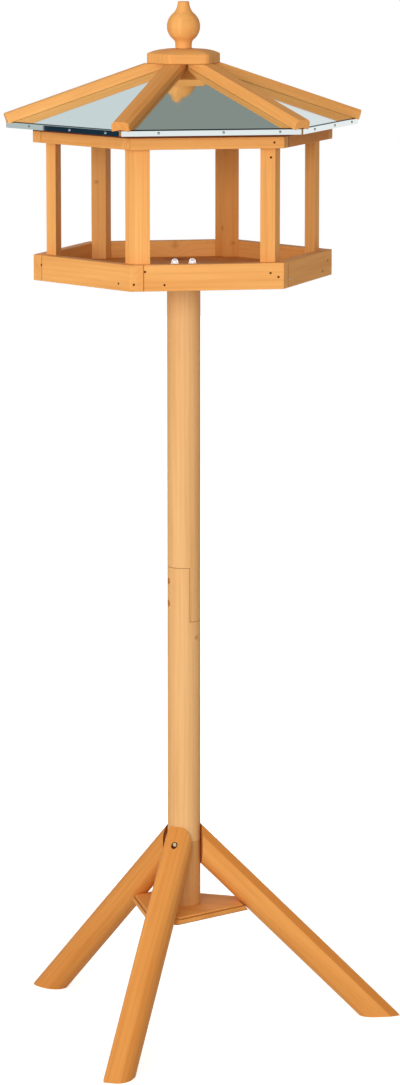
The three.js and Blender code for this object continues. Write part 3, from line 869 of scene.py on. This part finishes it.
class BIRD_TABLE_OT_stand(bpy.types.Operator):
    """Finishes the three legs and the plate between them"""

    bl_idname = "bird_table.stand"
    bl_label = "Stand"
    # The bevelled edge is darkened as painted shade, by a different amount on each leg
    bevel_shade_tones = (0.85, 0.25, 0.15)
    bevel_lean_from = math.radians(50)
    bevel_lean_to = math.radians(75)
    screw_hole = 5 * MM
    head_cut = -0.75
    # Dark lines run along two edges of the plate, at these depths under its top
    plate_side = -0.5
    plate_lines = ((2.2 * MM, 3.2 * MM), (8.2 * MM, 10.0 * MM))
    plate_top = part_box("base_plate")[1].z
    leg_sharp = math.radians(22)

    def leg_tone(self, face, index, top, side):
        """How much darker a face of a leg is: painted shade on its bevel, on its cut against the post and in
        its screw's hole.
        """
        base, way = leg_screw(index)
        offset = face.calc_center_median() - base
        if (offset - way * offset.dot(way)).length < self.screw_hole:
            return JOINT_AND_SHADE_TONE
        if face.normal.dot(way) < self.head_cut:
            return CUT_AND_SHADE_TONE
        lean = math.atan2(face.normal.dot(side), face.normal.dot(top))
        return self.bevel_shade_tones[index] if self.bevel_lean_from < lean < self.bevel_lean_to else 0

    def cut_plate(self, bm):
        """Marks off the dark lines round the plate's edge."""
        for depth in sum(self.plate_lines, ()):
            cut_across(bm, UP * (self.plate_top - depth), UP)

    def plate_tone(self, face):
        """How much darker a face of the plate is."""
        depth = self.plate_top - face.calc_center_median().z
        on_line = any(low < depth < high for low, high in self.plate_lines)
        return JOINT_AND_SHADE_TONE if on_line and face.normal.x > self.plate_side else 0

    def execute(self, context):
        for index in range(LEGS):
            out = leg_screw(index)[1]
            down = out * math.cos(LEG_SLOPE) - UP * math.sin(LEG_SLOPE)
            across = UP.cross(out)
            wooden_copy(
                context, f"leg_{index + 1}", "leg", (down, across), sharper_than=self.leg_sharp,
                shade=lambda face, index=index, top=down.cross(across), side=-across:
                self.leg_tone(face, index, top, side))
        facing = plan(PLATE_TURN + SIXTH)
        wooden_copy(
            context, "base_plate", "leg", (UP.cross(facing), facing), shape=self.cut_plate,
            shade=self.plate_tone)
        return {"FINISHED"}


class BIRD_TABLE_OT_nails(bpy.types.Operator):
    """Drives the nails of the roof's lip, the ring and the tray"""

    bl_idname = "bird_table.nails"
    bl_label = "Nails"
    turn_steps = 12
    # A head's outline, as shares of its radius and height
    head_shares = ((0.96, 0.35), (0.8, 0.72), (0.45, 0.94))
    lip_shares = (-0.58, 0.13, 0.75)
    lip_height = 3.7 * MM
    # Each nail: side of the tray, place along the side, height above the tray's lower edge, in millimetres
    tray_nails = (
        (0, 84.1, 21.5), (0, 94.7, 16.1), (0, -56.8, 8.1), (0, -82.5, 25.8), (0, -97.3, 9.3),
        (1, 84.0, 20.8), (1, 62.0, 8.4),
        (2, 85.5, 22.0), (2, -60.0, 8.0),
        (3, 83.0, 21.2), (3, 94.0, 15.0), (3, -58.0, 8.6),
        (4, 86.0, 22.4), (4, 60.0, 8.2),
        (5, 77.8, 9.0), (5, -85.1, 21.4),
    )
    bright_nails = ((1, -77.1, 10.9),)
    ring_sides = (0, 2, 4)
    ring_along = 88.7 * MM
    ring_height = 1229.8 * MM
    upright_along = 87.3 * MM
    upright_height = 1209.4 * MM

    def nail(self, bm, metal, place, outward, head, crown):
        """One nail, with its head's underside at place."""
        shank = metal.nail_shank / 2
        profile = [(0, -metal.nail_length), (shank, shank * 2 - metal.nail_length), (shank, 0), (head, 0)]
        profile += [(head * out, crown * up) for out, up in self.head_shares] + [(0, crown)]
        spun(bm, profile, place, outward, self.turn_steps)

    def on_side(self, index, apothem, along, height):
        """A place on one side of the house, and the way that the side faces."""
        outward = plan(side_turn(index))
        return AXIS + outward * apothem + UP.cross(outward) * along + UP * height, outward

    def execute(self, context):
        metal = settings(context, "metal")
        bright = bmesh.new()
        sunk = bmesh.new()
        lip = LIP_BOTTOM + self.lip_height
        for index in range(SIDES):
            for share in self.lip_shares:
                self.nail(
                    bright, metal, *self.on_side(index, EAVE_APOTHEM, EAVE_HALF * share, lip),
                    metal.nail_head / 2, metal.nail_crown)
        inner = AXIS.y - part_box("upright_1")[0].y
        heads = []
        for index in self.ring_sides:
            heads.append((sunk, index, TRAY_APOTHEM, self.ring_along, self.ring_height))
            heads.append((sunk, index, inner, self.upright_along, self.upright_height))
        for nails, bm in ((self.tray_nails, sunk), (self.bright_nails, bright)):
            for side, along, height in nails:
                heads.append((bm, side, TRAY_APOTHEM, along * MM, TRAY_BOTTOM + height * MM))
        for bm, *place in heads:
            self.nail(bm, metal, *self.on_side(*place), metal.sunk_head / 2, metal.sunk_crown)
        for name, bm, kind in (("bright_nails", bright, "steel"), ("sunk_nails", sunk, "dull")):
            close_turning(bm)
            finish_piece(name, bm, metal_of(context, kind))
        return {"FINISHED"}


# Studio

class BIRD_TABLE_OT_studio(bpy.types.Operator):
    """Sets the camera, the pale floor and the soft light"""

    bl_idname = "bird_table.studio"
    bl_label = "Studio"
    camera_turn = math.radians(259.92)
    camera_look = math.radians(79.694)
    camera_pitch = math.radians(9.372)
    sensor_width = 36
    far_end = 200
    floor_radius = 9.0
    floor_steps = 96
    floor_glow = (0.74, 1.0)
    glow_reach = (0.4, 1.2)
    key_turn = math.radians(239)
    fill_turn = math.radians(256)
    back_turn = math.radians(95)
    # A lamp's size, its distance from the post and its height
    key_place = (1.4, 4.2, 1.6)
    fill_place = (1.6, 5.0, 1.8)
    aim_height = 0.8
    # The room is brighter on the key light's side
    bright_turn = math.radians(235)
    side_shares = (0.2, 1.5)
    zenith_height = 0.9
    # The room as the metal sees it: white below, a grey ceiling edge, then dark, tilted towards the camera
    ceiling_tilt = math.radians(75)
    ceiling_edge = (0.34, 0.47)
    ceiling_core = (0.55, 0.66)
    edge_colour = "#919992"
    core_colour = "#1a2a38"
    wall_heights = (0.05, 0.4)
    wall_top = "#d9e2e4"
    # A grey wall to the left
    grey_turn = math.radians(150)
    grey_reach = (0.6, 0.9)
    grey_colour = "#c4cdcc"
    # A dark screen to the left
    screen_start = math.radians(158.15)
    screen_end = math.radians(178)
    screen_heights = (-0.34, 0.14)
    screen_colour = "#1f3342"

    def camera(self, context, studio):
        data = bpy.data.cameras.new("camera")
        data.sensor_width = self.sensor_width
        data.lens = studio.lens
        data.clip_end = self.far_end
        camera = new_object("camera", data)
        place = AXIS + plan(self.camera_turn) * studio.camera_reach
        camera.location = (place.x, place.y, studio.camera_height)
        look = plan(self.camera_look) * math.cos(self.camera_pitch) - UP * math.sin(self.camera_pitch)
        camera.rotation_euler = look.to_track_quat("-Z", "Y").to_euler()
        context.scene.camera = camera

    def lamp(self, name, power, turn, size, reach, height):
        """A round soft light that looks at the middle of the table."""
        data = bpy.data.lights.new(name, "AREA")
        data.shape = "DISK"
        data.size = size
        data.energy = power
        lamp = new_object(name, data)
        lamp.location = AXIS + plan(turn) * reach + UP * height
        aim = AXIS + UP * self.aim_height - lamp.location
        lamp.rotation_euler = aim.to_track_quat("-Z", "Y").to_euler()

    def floor(self, studio):
        bm = bmesh.new()
        bmesh.ops.create_circle(bm, cap_ends=True, segments=self.floor_steps, radius=self.floor_radius)
        mesh = bpy.data.meshes.new("studio_floor")
        bm.to_mesh(mesh)
        bm.free()
        floor = new_object("studio_floor", mesh)
        material, tree = empty_material("pale_floor_paint")
        place = add_node(tree, "TexCoord").outputs["Object"]
        reach = add_node(tree, "VectorMath", {"operation": "LENGTH"}, {0: place}).outputs["Value"]
        glow = add_node(
            tree, "MapRange",
            {**SOFT, **dict(enumerate(self.glow_reach + self.floor_glow, start=1))}, {0: reach})
        ray = add_node(tree, "LightPath")
        seen = add_node(
            tree, "Math", {"operation": "MAXIMUM"},
            {0: ray.outputs["Is Camera Ray"], 1: ray.outputs["Is Glossy Ray"]})
        lift = add_node(tree, "Math", {"operation": "MULTIPLY"}, {0: seen, 1: glow})
        paint = add_node(tree, "BsdfDiffuse", {"Color": tuple(studio.floor)})
        shine = add_node(tree, "Emission", {"Color": (1, 1, 1, 1)}, {"Strength": lift})
        both = add_node(tree, "AddShader", None, {0: paint, 1: shine})
        add_node(tree, "OutputMaterial", None, {"Surface": both})
        mesh.materials.append(material)

    def mirrored_room(self, tree, way, height):
        """The colour of the room in each direction, as the metal sees it."""
        tilt = plan(self.camera_turn) * math.cos(self.ceiling_tilt) + UP * math.sin(self.ceiling_tilt)
        above, left = (
            add_node(tree, "VectorMath", {"operation": "DOT_PRODUCT", 1: part}, {0: way}).outputs["Value"]
            for part in (tilt, plan(self.grey_turn)))
        colour = add_node(tree, "RGB").outputs[0]
        colour.default_value = (1, 1, 1, 1)
        for value, (start, end), tint in (
                (height, self.wall_heights, self.wall_top), (left, self.grey_reach, self.grey_colour),
                (above, self.ceiling_edge, self.edge_colour), (above, self.ceiling_core, self.core_colour)):
            share = add_node(tree, "MapRange", {**SOFT, 1: start, 2: end}, {0: value})
            colour = add_node(tree, "Mix", {**RGBA, 7: linear(tint)}, {0: share, 6: colour}).outputs[2]
        screen = None
        for direction, limit, operation in (
                (plan(self.screen_start - math.pi / 2), 0, "LESS_THAN"),
                (plan(self.screen_end - math.pi / 2), 0, "GREATER_THAN"),
                (UP, self.screen_heights[0], "GREATER_THAN"),
                (UP, self.screen_heights[1], "LESS_THAN")):
            side = add_node(tree, "VectorMath", {"operation": "DOT_PRODUCT", 1: direction}, {0: way})
            within = add_node(tree, "Math", {"operation": operation, 1: limit}, {0: side.outputs["Value"]})
            screen = within if screen is None else add_node(
                tree, "Math", {"operation": "MULTIPLY"}, {0: screen, 1: within})
        return add_node(
            tree, "Mix", {**RGBA, 7: linear(self.screen_colour)}, {0: screen, 6: colour}).outputs[2]

    def room(self, context, studio):
        world = bpy.data.worlds.new("pale_room")
        world.use_nodes = True
        tree = world.node_tree
        tree.nodes.clear()
        context.scene.world = world
        way = add_node(tree, "TexCoord").outputs["Generated"]
        height = add_node(tree, "SeparateXYZ", None, {0: way}).outputs["Z"]
        strength = add_node(
            tree, "MapRange", {1: 0.0, 2: self.zenith_height, 3: studio.horizon, 4: studio.zenith},
            {0: height})
        lit = add_node(
            tree, "VectorMath", {"operation": "DOT_PRODUCT", 1: plan(self.bright_turn)}, {0: way})
        share = add_node(
            tree, "MapRange", {1: -1.0, 2: 1.0, 3: self.side_shares[0], 4: self.side_shares[1]},
            {0: lit.outputs["Value"]})
        power = add_node(tree, "Math", {"operation": "MULTIPLY"}, {0: strength, 1: share})
        around = add_node(tree, "Background", {"Color": tuple(studio.room)}, {"Strength": power})
        mirrored = add_node(
            tree, "Background", {"Strength": 1.0}, {"Color": self.mirrored_room(tree, way, height)})
        white = add_node(tree, "Background", {"Color": (1, 1, 1, 1), "Strength": 1.0})
        ray = add_node(tree, "LightPath")
        glossy = add_node(
            tree, "MixShader", None, {0: ray.outputs["Is Glossy Ray"], 1: around, 2: mirrored})
        clear = add_node(
            tree, "Math", {"operation": "MAXIMUM"},
            {0: ray.outputs["Is Camera Ray"], 1: ray.outputs["Is Transmission Ray"]})
        seen = add_node(tree, "MixShader", None, {0: clear, 1: glossy, 2: white})
        add_node(tree, "OutputWorld", None, {"Surface": seen})

    def execute(self, context):
        studio = settings(context, "studio")
        context.scene.view_settings.view_transform = "Standard"
        self.camera(context, studio)
        self.floor(studio)
        self.room(context, studio)
        self.lamp("key_light", studio.key_power, self.key_turn, *self.key_place)
        self.lamp("fill_light", studio.fill_power, self.fill_turn, *self.fill_place)
        self.lamp("back_light", studio.back_power, self.back_turn, *self.fill_place)
        return {"FINISHED"}


class BIRD_TABLE_PT_panel(bpy.types.Panel):
    """The add-on's panel in the sidebar"""

    bl_label = "Bird table"
    bl_space_type = "VIEW_3D"
    bl_region_type = "UI"
    bl_category = "Bird table"

    def draw(self, context):
        for group in GROUPS:
            holder = settings(context, group)
            for name in holder.bl_rna.properties.keys():
                if name not in ("rna_type", "name"):
                    self.layout.prop(holder, name)
        for operator in OPERATORS:
            self.layout.operator(operator.bl_idname)


GROUPS = {
    "wood": BirdTableWood,
    "metal": BirdTableMetal,
    "turning": BirdTableTurning,
    "studio": BirdTableStudio,
}

OPERATORS = (
    BIRD_TABLE_OT_studio,
    BIRD_TABLE_OT_finial,
    BIRD_TABLE_OT_cap,
    BIRD_TABLE_OT_roof,
    BIRD_TABLE_OT_house,
    BIRD_TABLE_OT_fixings,
    BIRD_TABLE_OT_post,
    BIRD_TABLE_OT_stand,
    BIRD_TABLE_OT_nails,
)


def register():
    for cls in (*GROUPS.values(), *OPERATORS, BIRD_TABLE_PT_panel):
        bpy.utils.register_class(cls)
    for name, cls in GROUPS.items():
        setattr(bpy.types.Scene, "bird_table_" + name, bpy.props.PointerProperty(type=cls))


def unregister():
    for name in GROUPS:
        delattr(bpy.types.Scene, "bird_table_" + name)
    for cls in (BIRD_TABLE_PT_panel, *reversed(OPERATORS), *reversed(tuple(GROUPS.values()))):
        bpy.utils.unregister_class(cls)


def main():
    register()
    bpy.ops.bird_table.studio()
    bpy.ops.bird_table.finial()
    bpy.ops.bird_table.cap()
    bpy.ops.bird_table.roof()
    bpy.ops.bird_table.house()
    bpy.ops.bird_table.fixings()
    bpy.ops.bird_table.post()
    bpy.ops.bird_table.stand()
    bpy.ops.bird_table.nails()


if __name__ == "__main__":
    main()
